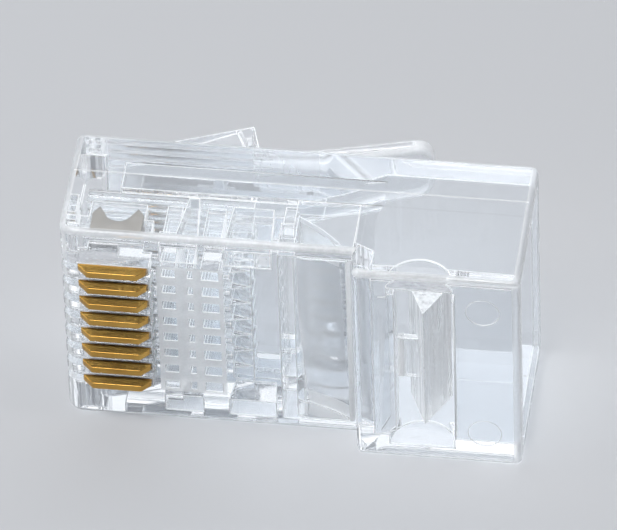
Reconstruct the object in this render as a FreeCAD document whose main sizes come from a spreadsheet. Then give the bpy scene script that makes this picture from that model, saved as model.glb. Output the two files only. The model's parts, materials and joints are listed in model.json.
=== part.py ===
import FreeCAD, Part
import math
import os
import Sketcher
from FreeCAD import Placement, Rotation, Vector

# Plug with eight ways, standing on a side wall: nose at -X, cable end at +X, contact side at -Y,
# latch side at +Y, width along Z. Inside a body, x runs back from the nose face, y runs in from
# the contact face of the rear part, and z runs up from the lower side wall.

SIZES = {
    # Outer form
    "plug_length": 21.5,
    "plug_width": 11.68,
    "plug_depth": 8.0,
    "nose_run": 13.65,
    "nose_step": 1.4,
    "riser_lean": 0.15,
    "nose_radius": 0.8,
    "corner_radius": 0.35,
    "edge_radius": 0.3,
    # Walls and cable cavity
    "side_wall": 0.95,
    "contact_wall": 1.1,
    "latch_wall": 0.95,
    "mouth_flare": 0.25,
    "cavity_setback": 0.95,
    "funnel_roof": 2.0,
    "chamber_lead": 1.5,
    "chamber_roof": 4.2,
    "chamber_floor": 5.45,
    # Ways and conductor channels
    "way_count": 8,
    "way_pitch": 1.016,
    "channel_bore": 0.92,
    "channel_depth": 4.93,
    "channel_front": 0.9,
    "rib_point_run": 0.9,
    "rib_point_width": 0.08,
    "rib_throat": 0.55,
    "rib_point_roof": 3.6,
    # Stamped contacts and their slots
    "blade_thickness": 0.35,
    "blade_clearance": 0.05,
    "blade_front": 0.86,
    "blade_length": 3.2,
    "blade_height": 3.4,
    "blade_proud": 0.5,
    "blade_front_chamfer": 0.5,
    "blade_back_chamfer": 0.42,
    "shoulder_drop": 1.5,
    "stem_inset": 0.4,
    "prong_point": 0.3,
    "prong_rise": 0.45,
    "notch_radius": 0.65,
    "notch_half_width": 0.62,
    "slot_end_gap": 0.07,
    "crimp_travel": 1.0,
    "comb_depth": 1.5,
    "rib_nose_radius": 0.26,
    # Small windows behind the contacts and slits in the nose face
    "front_window_start": 4.72,
    "front_window_run": 0.66,
    "front_window_width": 0.5,
    "slit_start": 5.92,
    "slit_run": 0.28,
    "slit_width": 0.5,
    "slit_depth": 1.6,
    "back_window_start": 6.58,
    "back_window_run": 0.82,
    "back_window_width": 0.58,
    "nose_slit_width": 0.4,
    "nose_slit_start": 3.75,
    "nose_slit_run": 1.1,
    "nose_slit_depth": 0.45,
    # Core-outs beside the channels
    "core_front": 2.5,
    "core_roof": 5.0,
    "core_run": 1.6,
    "core_width": 0.6,
    # Pockets between the outer ways and the side walls
    "pocket_wall": 0.62,
    "pocket_width": 0.93,
    "step_pocket_start": 4.7,
    "step_pocket_sill": 0.65,
    "step_pocket_shelf": 0.75,
    "step_pocket_mouth": 1.03,
    "step_pocket_floor": 0.4,
    "step_pocket_depth": 3.0,
    "wide_pocket_wall": 0.32,
    "wide_pocket_run": 2.2,
    "wide_pocket_draft": 0.2,
    "wide_pocket_depth": 2.6,
    # Conductor clamp
    "clamp_gap": 0.65,
    "clamp_sill_width": 0.98,
    "clamp_sill_depth": 1.8,
    "clamp_run": 2.8,
    "clamp_nose": 2.5,
    "clamp_lead_run": 0.55,
    "clamp_lead_drop": 0.14,
    "clamp_hollow_radius": 7.5,
    "clamp_barrel_radius": 0.25,
    "clamp_swing_room": 0.85,
    "hinge_clearance": 0.05,
    "clamp_side_clearance": 0.08,
    # Cable clamp and its window
    "window_setback": 2.02,
    "window_run": 2.75,
    "window_inset": 1.46,
    "arch_setback": 1.2,
    "arch_sink": 0.1,
    "arch_radius": 1.5,
    "arch_width": 0.6,
    "window_lead_run": 0.7,
    "window_lead_drop": 0.3,
    "bar_gap": 0.45,
    "bar_rise": 0.9,
    "bar_fall": 1.05,
    "bar_base": 2.0,
    "bar_width": 7.1,
    "web_thickness": 0.3,
    "web_width": 2.45,
    "web_barrel_radius": 0.2,
    "web_sink": 0.85,
    # Sunk marks of the ejector pins
    "pin_mark_radius": 0.8,
    "pin_mark_depth": 0.04,
    "pin_mark_setback": 1.7,
    "pin_mark_inset": 1.98,
    # Latch
    "toe_height": 1.55,
    "toe_radius": 0.5,
    "pivot_run": 1.3,
    "pivot_height": 1.2,
    "latch_barrel_radius": 0.47,
    "latch_width": 6.17,
    "latch_angle": 16.7,
    "catch_run": 6.9,
    "catch_thickness": 1.45,
    "lever_width": 3.25,
    "lever_length": 15.2,
    "lever_root_thickness": 1.15,
    "lever_tip_thickness": 0.85,
    "lever_tip_radius": 0.3,
    "lever_corner_radius": 0.9,
    "overrun": 0.3,
}

PLANE_SIGN = {"XY_Plane": 1, "YZ_Plane": 1, "XZ_Plane": -1}


class Size:
    """A number together with the expression that ties it to the sheet."""

    def __init__(self, value, text):
        self.value = value
        self.text = text

    def __add__(self, other):
        other = as_size(other)
        return Size(self.value + other.value, f"({self.text} + {other.text})")

    def __sub__(self, other):
        other = as_size(other)
        return Size(self.value - other.value, f"({self.text} - {other.text})")

    def __mul__(self, other):
        other = as_size(other)
        return Size(self.value * other.value, f"({self.text} * {other.text})")

    def __truediv__(self, other):
        other = as_size(other)
        return Size(self.value / other.value, f"({self.text} / {other.text})")

    def __rmul__(self, other):
        return as_size(other) * self

    def __rsub__(self, other):
        return as_size(other) - self


def as_size(item):
    if isinstance(item, Size):
        return item
    return Size(float(item), str(float(item)))


def sine(angle):
    return Size(math.sin(math.radians(angle.value)), f"sin({angle.text})")


def cosine(angle):
    return Size(math.cos(math.radians(angle.value)), f"cos({angle.text})")


class Sizes:
    """The driving dimensions: one cell of the sheet each, reached by name."""

    def __init__(self, doc, table):
        self.sheet = doc.addObject("Spreadsheet::Sheet", "sizes")
        for row, (name, value) in enumerate(table.items(), 1):
            self.sheet.set(f"A{row}", name)
            self.sheet.set(f"B{row}", str(value))
            self.sheet.setAlias(f"B{row}", name)
            setattr(self, name, Size(float(value), f"sizes.{name}"))


def bind(item, prop, size):
    item.setExpression(prop, as_size(size).text)


def origin_item(body, role):
    return next(item for item in body.Origin.OriginFeatures if item.Role == role)


def new_sketch(body, name, plane, level):
    """A sketch on one of the body's origin planes, moved along the plane's axis to a level."""
    sketch = body.newObject("Sketcher::SketchObject", name)
    sketch.AttachmentSupport = [(origin_item(body, plane), "")]
    sketch.MapMode = "FlatFace"
    height = as_size(PLANE_SIGN[plane]) * level
    sketch.AttachmentOffset = Placement(Vector(0, 0, height.value), Rotation())
    bind(sketch, "AttachmentOffset.Base.z", height)
    return sketch


def constrain(sketch, kind, where, size):
    """Adds one dimension to a sketch and ties it to the sheet."""
    size = as_size(size)
    index = sketch.addConstraint(Sketcher.Constraint(kind, *where, size.value))
    sketch.setExpression(f"Constraints[{index}]", size.text)


def tie_point(sketch, geometry, point, place):
    constrain(sketch, "DistanceX", (-1, 1, geometry, point), place[0])
    constrain(sketch, "DistanceY", (-1, 1, geometry, point), place[1])


def arc_between(start, end, radius):
    """The short arc from start to end; a positive radius has its centre left of the run."""
    run = end - start
    middle = (start + end) * 0.5
    reach = math.sqrt(radius * radius - run.Length ** 2 / 4)
    side = Vector(-run.y, run.x, 0).normalize() * math.copysign(1, radius)
    centre = middle + side * reach
    through = centre - side * abs(radius)
    return Part.Arc(start, through, end)


def outline(body, name, plane, level, corners, arcs=None):
    """A closed outline: straight runs between corners, or arcs where a radius is given."""
    sketch = new_sketch(body, name, plane, as_size(level))
    arcs = arcs or {}
    corners = [(as_size(across), as_size(up)) for across, up in corners]
    places = [Vector(across.value, up.value, 0) for across, up in corners]
    count = len(corners)
    for index, start in enumerate(places):
        end = places[(index + 1) % count]
        if index in arcs:
            radius, side = arcs[index]
            sketch.addGeometry(arc_between(start, end, side * radius.value), False)
        else:
            sketch.addGeometry(Part.LineSegment(start, end), False)
    ends = [arc_ends(arcs, index) for index in range(count)]
    for index in range(count):
        following = (index + 1) % count
        sketch.addConstraint(
            Sketcher.Constraint("Coincident", index, ends[index][1], following, ends[following][0])
        )
    for index, place in enumerate(corners):
        tie_point(sketch, index, ends[index][0], place)
    for index, (radius, side) in arcs.items():
        constrain(sketch, "Radius", (index,), radius)
    return sketch


def arc_ends(arcs, index):
    """Which end of a run comes first: an arc with its centre on the right runs backwards."""
    if index in arcs and arcs[index][1] < 0:
        return (2, 1)
    return (1, 2)


def disc(body, name, plane, level, centre, radius):
    sketch = new_sketch(body, name, plane, as_size(level))
    centre = (as_size(centre[0]), as_size(centre[1]))
    middle = Vector(centre[0].value, centre[1].value, 0)
    sketch.addGeometry(Part.Circle(middle, Vector(0, 0, 1), radius.value), False)
    tie_point(sketch, 0, 3, centre)
    constrain(sketch, "Radius", (0,), radius)
    return sketch


def box_outline(low_across, low_up, high_across, high_up):
    return [
        (low_across, low_up),
        (high_across, low_up),
        (high_across, high_up),
        (low_across, high_up),
    ]


def extrude(body, kind, sketch, length):
    """A pad or pocket that grows along the plane's own axis, away from the origin."""
    sign = PLANE_SIGN[sketch.AttachmentSupport[0][0].Role]
    feature = body.newObject(kind, sketch.Name + "_" + kind.split("::")[1].lower())
    feature.Profile = sketch
    feature.Length = as_size(length).value
    bind(feature, "Length", length)
    feature.Reversed = (sign < 0) if kind == "PartDesign::Pad" else (sign > 0)
    sketch.Visibility = False
    return feature


def pad(body, sketch, length):
    return extrude(body, "PartDesign::Pad", sketch, length)


def pocket(body, sketch, length):
    return extrude(body, "PartDesign::Pocket", sketch, length)


def dress_edges(doc, body, kind, name, size, wanted):
    """A fillet or chamfer on the edges of the body so far that pass the test."""
    doc.recompute()
    base = body.Tip
    names = [f"Edge{n}" for n, edge in enumerate(base.Shape.Edges, 1) if wanted(edge)]
    dressing = body.newObject(f"PartDesign::{kind}", name)
    dressing.Base = (base, names)
    prop = "Radius" if kind == "Fillet" else "Size"
    setattr(dressing, prop, size.value)
    bind(dressing, prop, size)


def round_edges(doc, body, name, radius, wanted):
    dress_edges(doc, body, "Fillet", name, radius, wanted)


def near(value, size):
    return abs(value - as_size(size).value) < 1e-4


def upright_at(edge, x, y):
    """True for an edge along Z that stands at a place in the profile."""
    box = edge.BoundBox
    flat = box.XLength < 1e-4 and box.YLength < 1e-4
    return flat and near(box.XMin, x) and near(box.YMin, y)


def lies_at_height(edge, height):
    return edge.BoundBox.ZLength < 1e-4 and near(edge.BoundBox.ZMin, height)


def latch_tip_depth(p):
    """How far in from the contact face the raised lever's rounded tip reaches."""
    along = p.lever_length - p.lever_tip_radius
    out = p.lever_tip_thickness - p.latch_barrel_radius - p.lever_tip_radius
    rise = along * sine(p.latch_angle) + out * cosine(p.latch_angle)
    return p.plug_depth + p.pivot_height + rise + p.lever_tip_radius


def place_body(body, p, x=0, y=0, z=0):
    """Puts a body in the part's frame, whose origin is at the middle of the underside."""
    bind(body, "Placement.Base.x", as_size(x) - p.plug_length / 2)
    bind(body, "Placement.Base.y", as_size(y) - latch_tip_depth(p) / 2)
    bind(body, "Placement.Base.z", as_size(z))


def way_height(p, way):
    """Height of a way's middle plane; way 0 is the lowest."""
    return p.plug_width / 2 + p.way_pitch * (as_size(way) - (p.way_count - 1) / 2)


def blade_top(p):
    return p.nose_step - p.blade_proud


def clamp_front(p):
    return p.nose_run - p.clamp_run


def clamp_opening_front(p):
    return clamp_front(p) - p.clamp_gap


def chamber_front(p):
    return clamp_opening_front(p) - p.chamber_lead


def cavity_front(p):
    return p.nose_run + p.cavity_setback


def window_front(p):
    return p.nose_run + p.window_setback


def add_shell(doc, body, p):
    """The outer block with its step, rounded corners and rounded side edges."""
    riser_top = p.nose_run + p.riser_lean
    profile = [
        (0, p.nose_step),
        (p.nose_run, p.nose_step),
        (riser_top, 0),
        (p.plug_length, 0),
        (p.plug_length, p.plug_depth),
        (0, p.plug_depth),
    ]
    pad(body, outline(body, "side_profile", "XY_Plane", 0, profile), p.plug_width)
    round_edges(
        doc, body, "nose_rounding", p.nose_radius, lambda edge: upright_at(edge, 0, p.nose_step)
    )
    corners = [
        (riser_top, 0),
        (p.plug_length, 0),
        (p.plug_length, p.plug_depth),
        (0, p.plug_depth),
    ]
    round_edges(
        doc,
        body,
        "corner_rounding",
        p.corner_radius,
        lambda edge: any(upright_at(edge, *corner) for corner in corners),
    )
    round_edges(
        doc,
        body,
        "side_rounding",
        p.edge_radius,
        lambda edge: lies_at_height(edge, 0) or lies_at_height(edge, p.plug_width),
    )


def add_toe(doc, body, p):
    """The block on the latch side that carries the lever, hollowed for the lever's barrel."""
    low = p.plug_width / 2 - p.latch_width / 2
    root = p.plug_depth - p.overrun
    top = p.plug_depth + p.toe_height
    block = [
        (p.corner_radius, root),
        (p.pivot_run, root),
        (p.pivot_run, top),
        (0, top),
        (0, p.plug_depth - p.corner_radius),
    ]
    pad(body, outline(body, "toe_profile", "XY_Plane", low, block), p.latch_width)
    round_edges(doc, body, "toe_rounding", p.toe_radius, lambda edge: upright_at(edge, 0, top))
    seat = p.latch_barrel_radius + p.hinge_clearance
    centre = (p.pivot_run, p.plug_depth + p.pivot_height)
    cut = disc(body, "barrel_seat", "XY_Plane", low - p.overrun, centre, seat)
    pocket(body, cut, p.latch_width + 2 * p.overrun)


def add_cavity(doc, body, p):
    """The cable cavity, the funnel to the conductor chamber, and the chamber itself."""
    floor = p.plug_depth - p.latch_wall
    far_wall = p.plug_width - p.side_wall
    mouth = box_outline(p.contact_wall, p.side_wall, floor, far_wall)
    sketch = outline(body, "cavity_section", "YZ_Plane", cavity_front(p), mouth)
    pocket(body, sketch, p.plug_length - cavity_front(p))
    dress_edges(
        doc, body, "Chamfer", "mouth_flare", p.mouth_flare, lambda edge: on_mouth(edge, p)
    )
    half_rows = p.way_count * p.way_pitch / 2
    low_row = p.plug_width / 2 - half_rows
    high_row = p.plug_width / 2 + half_rows
    wide = box_outline(p.funnel_roof, p.side_wall, floor, far_wall)
    narrow = box_outline(p.chamber_roof, low_row, p.chamber_floor, high_row)
    wide_end = outline(body, "funnel_back", "YZ_Plane", cavity_front(p), wide)
    narrow_end = outline(body, "funnel_throat", "YZ_Plane", clamp_front(p), narrow)
    funnel = body.newObject("PartDesign::SubtractiveLoft", "funnel")
    funnel.Profile = wide_end
    funnel.Sections = [narrow_end]
    funnel.Ruled = True
    chamber = outline(body, "chamber_section", "YZ_Plane", chamber_front(p), narrow)
    pocket(body, chamber, clamp_front(p) - chamber_front(p))


def on_mouth(edge, p):
    """True for one of the cavity's four edges in the rear face."""
    box = edge.BoundBox
    inside = box.YMin > p.contact_wall.value - 1e-4 and box.ZMin > p.side_wall.value - 1e-4
    within = box.YMax < (p.plug_depth - p.latch_wall).value + 1e-4
    return box.XLength < 1e-4 and near(box.XMin, p.plug_length) and inside and within


def add_clamp_opening(body, p):
    """The opening that the conductor clamp turns in, and the slot before it with a sill at each end."""
    mouth = p.nose_step - p.overrun
    floor = p.nose_step + p.clamp_nose + p.clamp_swing_room
    sill = p.nose_step + p.clamp_sill_depth
    slot_front = clamp_opening_front(p)
    front = clamp_front(p) - p.clamp_side_clearance
    hinge = p.nose_run - p.hinge_clearance
    sill_end = p.pocket_wall + p.clamp_sill_width
    for name, start, depth, end, low in (
        ("clamp_slot", slot_front, floor, front, sill_end),
        ("clamp_sills", slot_front, sill, front, p.pocket_wall),
        ("clamp_opening", front, floor, hinge, p.pocket_wall),
    ):
        sketch = outline(body, name, "XY_Plane", low, box_outline(start, mouth, end, depth))
        pocket(body, sketch, p.plug_width - 2 * low)


def add_window(body, p):
    """The window of the cable clamp, with a sloped front edge and an arched pocket at each end."""
    front = window_front(p)
    opening = box_outline(
        front, p.window_inset, front + p.window_run, p.plug_width - p.window_inset
    )
    sketch = outline(body, "window_outline", "XZ_Plane", 0 - p.overrun, opening)
    pocket(body, sketch, p.contact_wall + 2 * p.overrun)
    slope = [
        (front - p.window_lead_run, 0),
        (front - p.window_lead_run, 0 - p.overrun),
        (front + p.overrun, 0 - p.overrun),
        (front + p.overrun, p.window_lead_drop),
        (front, p.window_lead_drop),
    ]
    sketch = outline(body, "window_lead", "XY_Plane", p.window_inset, slope)
    pocket(body, sketch, p.plug_width - 2 * p.window_inset)
    centre = (front + p.arch_setback, p.arch_sink)
    low_end = p.window_inset - p.arch_width
    high_end = p.plug_width - p.window_inset
    for name, level in (("low_arch", low_end), ("high_arch", high_end)):
        pocket(body, disc(body, name, "XY_Plane", level, centre, p.arch_radius), p.arch_width)


def add_pin_marks(body, p):
    """Two shallow round marks near the rear of the contact face."""
    place = p.plug_length - p.pin_mark_setback
    for name, height in (
        ("low_pin_mark", p.pin_mark_inset),
        ("high_pin_mark", p.plug_width - p.pin_mark_inset),
    ):
        sketch = disc(body, name, "XZ_Plane", 0, (place, height), p.pin_mark_radius)
        pocket(body, sketch, p.pin_mark_depth)


def add_core_outs(body, p):
    """Two long hollows beside the channels, open into the cable cavity."""
    back = cavity_front(p) + p.overrun
    section = box_outline(p.core_front, p.core_roof, back, p.core_roof + p.core_run)
    high = p.plug_width - p.side_wall - p.core_width
    for name, level in (("low_core", p.side_wall), ("high_core", high)):
        pocket(body, outline(body, name, "XY_Plane", level, section), p.core_width)


def side_pocket_profiles(p):
    """Side views of the stepped and the wide pocket, both open at the nose's contact face."""
    mouth = p.nose_step - p.overrun
    shelf_end = p.step_pocket_start + p.step_pocket_shelf
    deep = p.nose_step + p.step_pocket_depth
    middle = shelf_end + p.step_pocket_mouth / 2
    stepped = [
        (p.step_pocket_start, mouth),
        (shelf_end + p.step_pocket_mouth, mouth),
        (middle + p.step_pocket_floor / 2, deep),
        (middle - p.step_pocket_floor / 2, deep),
        (shelf_end, p.nose_step + p.step_pocket_sill),
        (p.step_pocket_start, p.nose_step + p.step_pocket_sill),
    ]
    back = clamp_opening_front(p) - p.wide_pocket_wall
    front = back - p.wide_pocket_run
    deep = p.nose_step + p.wide_pocket_depth
    wide = [
        (front, mouth),
        (back, mouth),
        (back - p.wide_pocket_draft, deep),
        (front + p.wide_pocket_draft, deep),
    ]
    return {"stepped_pocket": stepped, "wide_pocket": wide}


def add_side_pockets(body, p):
    """Pockets beyond the outer ways, which keep the side walls of the nose thin and even."""
    levels = {"low": p.pocket_wall, "high": p.plug_width - p.pocket_wall - p.pocket_width}
    for name, profile in side_pocket_profiles(p).items():
        for end, level in levels.items():
            sketch = outline(body, f"{end}_{name}", "XY_Plane", level, profile)
            pocket(body, sketch, p.pocket_width)


def slot_profile(p):
    """Side view of a contact slot: comb at the nose, wide upper part, narrow lower part."""
    front = p.blade_front - p.slot_end_gap
    back = p.blade_front + p.blade_length + p.slot_end_gap
    ledge = blade_top(p) + p.shoulder_drop + p.crimp_travel + p.blade_clearance
    return [
        (0 - p.overrun, p.nose_step - p.overrun),
        (back, p.nose_step - p.overrun),
        (back, ledge),
        (back - p.stem_inset, ledge),
        (back - p.stem_inset, p.channel_depth),
        (front + p.stem_inset, p.channel_depth),
        (front + p.stem_inset, ledge),
        (front, ledge),
        (front, p.nose_step + p.comb_depth),
        (0 - p.overrun, p.nose_step + p.comb_depth),
    ]


def way_slab(body, p, name, profile, width):
    """Cuts a side profile through a slab about the lowest way's middle plane."""
    level = way_height(p, 0) - width / 2
    return pocket(body, outline(body, name, "XY_Plane", level, profile), width)


def add_ways(doc, body, p):
    """All cuts that belong to one way, and their row along the width."""
    top = p.nose_step - p.overrun
    middle = way_height(p, 0)
    slot_width = p.blade_thickness + 2 * p.blade_clearance
    cuts = [way_slab(body, p, "contact_slot", slot_profile(p), slot_width)]
    windows = (
        ("front_window", p.front_window_start, p.front_window_run, p.front_window_width),
        ("back_window", p.back_window_start, p.back_window_run, p.back_window_width),
    )
    for name, start, run, width in windows:
        profile = box_outline(start, top, start + run, p.channel_depth)
        cuts.append(way_slab(body, p, name, profile, width))
    cuts.append(add_rib_noses(body, p, middle))
    slit = box_outline(p.slit_start, top, p.slit_start + p.slit_run, p.nose_step + p.slit_depth)
    cuts.append(way_slab(body, p, "slit", slit, p.slit_width))
    slit_end = p.nose_slit_start + p.nose_slit_run
    face = box_outline(0 - p.overrun, p.nose_slit_start, p.nose_slit_depth, slit_end)
    cuts.append(way_slab(body, p, "nose_slit", face, p.nose_slit_width))
    bore = disc(
        body,
        "channel",
        "YZ_Plane",
        p.channel_front,
        (p.channel_depth, middle),
        p.channel_bore / 2,
    )
    cuts.append(pocket(body, bore, chamber_front(p) - p.channel_front + p.overrun))
    cuts.append(add_rib_points(body, p, middle))
    doc.recompute()
    row = body.newObject("PartDesign::LinearPattern", "ways")
    row.Originals = cuts
    row.Direction = (origin_item(body, "Z_Axis"), [""])
    row.Length = (p.way_pitch * (p.way_count - 1)).value
    bind(row, "Length", p.way_pitch * (p.way_count - 1))
    row.Occurrences = int(p.way_count.value)
    bind(row, "Occurrences", p.way_count)
    body.Tip = row


def add_rib_noses(body, p, middle):
    """The flared mouth of a slot in the nose, which rounds the ribs on both its sides."""
    radius = p.rib_nose_radius
    inner = p.blade_thickness / 2 + p.blade_clearance
    outer = inner + radius
    mouth = [
        (0 - p.overrun, middle - outer),
        (0, middle - outer),
        (radius, middle - inner),
        (radius, middle + inner),
        (0, middle + outer),
        (0 - p.overrun, middle + outer),
    ]
    arcs = {1: (radius, -1), 3: (radius, -1)}
    level = p.nose_step - p.overrun
    sketch = outline(body, "rib_noses", "XZ_Plane", level, mouth, arcs)
    return pocket(body, sketch, p.comb_depth + p.overrun)


def add_rib_points(body, p, middle):
    """The flared entry of a channel, which leaves the ribs beside it with pointed ends."""
    end = chamber_front(p)
    start = end - p.rib_point_run
    half_throat = p.rib_throat / 2
    half_mouth = p.way_pitch / 2 - p.rib_point_width / 2
    flare = [
        (start, middle - half_throat),
        (end, middle - half_mouth),
        (end, middle + half_mouth),
        (start, middle + half_throat),
    ]
    sketch = outline(body, "rib_points", "XZ_Plane", p.rib_point_roof, flare)
    return pocket(body, sketch, p.chamber_floor - p.rib_point_roof)


def make_housing(doc, p):
    body = new_body(doc, "housing")
    add_shell(doc, body, p)
    add_toe(doc, body, p)
    add_pin_marks(body, p)
    add_cavity(doc, body, p)
    add_clamp_opening(body, p)
    add_window(body, p)
    add_core_outs(body, p)
    add_ways(doc, body, p)
    add_side_pockets(body, p)
    place_body(body, p)
    return body


def make_latch_lever(doc, p):
    """The lever: barrel at the toe, wide catch with two shoulders, narrow tapering handle."""
    body = new_body(doc, "latch_lever")
    inner = 0 - p.latch_barrel_radius
    low_catch = p.plug_width / 2 - p.latch_width / 2
    low_lever = p.plug_width / 2 - p.lever_width / 2
    barrel = disc(body, "barrel", "XY_Plane", low_catch, (0, 0), p.latch_barrel_radius)
    pad(body, barrel, p.latch_width)
    catch = [
        (0, inner),
        (p.catch_run, inner),
        (p.catch_run, inner + p.catch_thickness),
        (0, p.latch_barrel_radius),
    ]
    pad(body, outline(body, "catch", "XY_Plane", low_catch, catch), p.latch_width)
    handle = [
        (p.catch_run - p.overrun, inner),
        (p.lever_length, inner),
        (p.lever_length, inner + p.lever_tip_thickness),
        (p.catch_run - p.overrun, inner + p.lever_root_thickness),
    ]
    pad(body, outline(body, "handle", "XY_Plane", low_lever, handle), p.lever_width)
    tip_corners = [
        (p.lever_length, inner),
        (p.lever_length, inner + p.lever_tip_thickness),
    ]
    round_edges(doc, body, "tip_sides", p.lever_corner_radius, lambda edge: tip_side(edge, p))
    round_edges(
        doc,
        body,
        "tip_rounding",
        p.lever_tip_radius,
        lambda edge: any(upright_at(edge, *corner) for corner in tip_corners),
    )
    bind(body, "Placement.Rotation.Angle", p.latch_angle)
    place_body(body, p, p.pivot_run, p.plug_depth + p.pivot_height)
    return body


def tip_side(edge, p):
    """True for the two short edges through the thickness at the end of the handle."""
    box = edge.BoundBox
    return box.XLength < 1e-4 and box.ZLength < 1e-4 and near(box.XMin, p.lever_length)


def make_conductor_clamp(doc, p):
    """The wedge over the conductors: upright nose with a lead-in, hollow underside, barrel."""
    body = new_body(doc, "conductor_clamp_bar")
    radius = p.clamp_barrel_radius
    hinge = p.nose_run - 2 * p.hinge_clearance - radius
    low = p.pocket_wall + p.clamp_side_clearance
    width = p.plug_width - 2 * low
    barrel = disc(body, "barrel", "XY_Plane", low, (hinge, p.nose_step + radius), radius)
    pad(body, barrel, width)
    front = clamp_front(p)
    wedge = [
        (front + p.clamp_lead_run, p.nose_step),
        (hinge, p.nose_step),
        (hinge, p.nose_step + 2 * radius),
        (front, p.nose_step + p.clamp_nose),
        (front, p.nose_step + p.clamp_lead_drop),
    ]
    arcs = {2: (p.clamp_hollow_radius, 1)}
    pad(body, outline(body, "wedge", "XY_Plane", low, wedge, arcs), width)
    place_body(body, p)
    return body


def make_cable_clamp(doc, p):
    """The ridged bar in the window, on a short thin web with a barrel at its end."""
    body = new_body(doc, "cable_clamp_bar")
    middle = p.plug_width / 2
    hinge = window_front(p) + p.hinge_clearance + p.web_barrel_radius
    bar_front = window_front(p) + p.bar_gap
    crest = bar_front + p.bar_rise
    ridge = [(bar_front, p.bar_base), (crest, 0), (crest + p.bar_fall, p.bar_base)]
    low_bar = middle - p.bar_width / 2
    pad(body, outline(body, "ridge", "XY_Plane", low_bar, ridge), p.bar_width)
    low_web = middle - p.web_width / 2
    web = box_outline(
        hinge,
        p.web_sink - p.web_thickness / 2,
        crest,
        p.web_sink + p.web_thickness / 2,
    )
    pad(body, outline(body, "web", "XY_Plane", low_web, web), p.web_width)
    barrel = disc(
        body, "barrel", "XY_Plane", low_web, (hinge, p.web_sink), p.web_barrel_radius
    )
    pad(body, barrel, p.web_width)
    place_body(body, p)
    return body


def contact_profile(p):
    """Side view of a contact: chamfered top, shoulders, and two prongs about a round notch."""
    front = p.blade_front
    back = front + p.blade_length
    top = blade_top(p)
    tip = top + p.blade_height
    stem_front = front + p.stem_inset
    stem_back = back - p.stem_inset
    middle = (front + back) / 2
    notch_edge = tip - p.prong_rise
    corners = [
        (front + p.blade_front_chamfer, top),
        (back - p.blade_back_chamfer, top),
        (back, top + p.blade_back_chamfer),
        (back, top + p.shoulder_drop),
        (stem_back, top + p.shoulder_drop),
        (stem_back, tip - p.prong_rise),
        (stem_back - p.prong_point, tip),
        (middle + p.notch_half_width, notch_edge),
        (middle - p.notch_half_width, notch_edge),
        (stem_front + p.prong_point, tip),
        (stem_front, tip - p.prong_rise),
        (stem_front, top + p.shoulder_drop),
        (front, top + p.shoulder_drop),
        (front, top + p.blade_front_chamfer),
    ]
    arcs = {7: (p.notch_radius, -1)}
    return corners, arcs


def make_contact(doc, p, way):
    body = new_body(doc, f"contact_{way + 1}")
    corners, arcs = contact_profile(p)
    low = way_height(p, way) - p.blade_thickness / 2
    sketch = outline(body, "blade", "XY_Plane", low, corners, arcs)
    pad(body, sketch, p.blade_thickness)
    place_body(body, p)
    return body


def new_body(doc, name):
    body = doc.addObject("PartDesign::Body", name)
    body.Label = name
    return body


def check_document(doc, bodies):
    """Stops if an object failed, a shape is bad, or a cut took nothing away."""
    for item in doc.Objects:
        if "Invalid" in item.State or "Error" in item.State:
            raise RuntimeError(f"{item.Name} failed: {item.State}")
        if item.TypeId in ("PartDesign::Pocket", "PartDesign::SubtractiveLoft"):
            if item.Shape.Volume > item.BaseFeature.Shape.Volume - 1e-6:
                raise RuntimeError(f"{item.Name} cut nothing")
    for body in bodies:
        shape = body.Shape
        if shape.isNull() or not shape.isValid() or len(shape.Solids) != 1:
            raise RuntimeError(f"{body.Label} is not one valid solid")


def write_parts(bodies):
    os.makedirs("parts", exist_ok=True)
    for body in bodies:
        body.Shape.exportStep(f"parts/{body.Label}.step")
        box = body.Shape.BoundBox
        print(body.Label, round(body.Shape.Volume, 3), len(body.Shape.Faces), box)


def main():
    doc = FreeCAD.newDocument("modular_plug")
    p = Sizes(doc, SIZES)
    doc.recompute()
    bodies = [
        make_housing(doc, p),
        make_latch_lever(doc, p),
        make_conductor_clamp(doc, p),
        make_cable_clamp(doc, p),
    ]
    bodies += [make_contact(doc, p, way) for way in range(int(p.way_count.value))]
    doc.recompute()
    check_document(doc, bodies)
    write_parts(bodies)


main()
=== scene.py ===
"""Looks of a clear modular plug with eight gold contacts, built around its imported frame."""

import json
import logging
import math
from dataclasses import dataclass, field
from enum import Enum
from typing import Any, Sequence

import bmesh
import bpy
from mathutils import Matrix, Vector


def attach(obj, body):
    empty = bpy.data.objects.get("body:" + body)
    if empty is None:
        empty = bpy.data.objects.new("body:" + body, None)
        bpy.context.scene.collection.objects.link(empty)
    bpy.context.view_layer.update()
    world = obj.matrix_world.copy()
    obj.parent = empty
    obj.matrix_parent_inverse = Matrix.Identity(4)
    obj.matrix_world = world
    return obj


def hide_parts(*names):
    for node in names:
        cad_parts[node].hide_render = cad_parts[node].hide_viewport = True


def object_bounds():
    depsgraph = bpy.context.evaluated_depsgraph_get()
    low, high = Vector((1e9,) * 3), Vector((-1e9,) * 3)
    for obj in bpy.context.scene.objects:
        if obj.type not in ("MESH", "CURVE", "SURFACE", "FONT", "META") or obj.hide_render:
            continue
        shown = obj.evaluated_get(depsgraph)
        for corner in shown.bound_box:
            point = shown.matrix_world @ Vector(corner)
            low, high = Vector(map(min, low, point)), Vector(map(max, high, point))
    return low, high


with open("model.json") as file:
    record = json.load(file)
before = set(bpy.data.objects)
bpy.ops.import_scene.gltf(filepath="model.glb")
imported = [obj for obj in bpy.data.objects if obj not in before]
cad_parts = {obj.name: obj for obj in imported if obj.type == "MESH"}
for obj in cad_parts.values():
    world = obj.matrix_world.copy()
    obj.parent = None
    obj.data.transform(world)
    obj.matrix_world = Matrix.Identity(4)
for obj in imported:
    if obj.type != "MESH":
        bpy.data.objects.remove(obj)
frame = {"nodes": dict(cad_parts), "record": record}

# Measures and logging
MM = 0.001
CAD_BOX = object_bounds()
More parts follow.
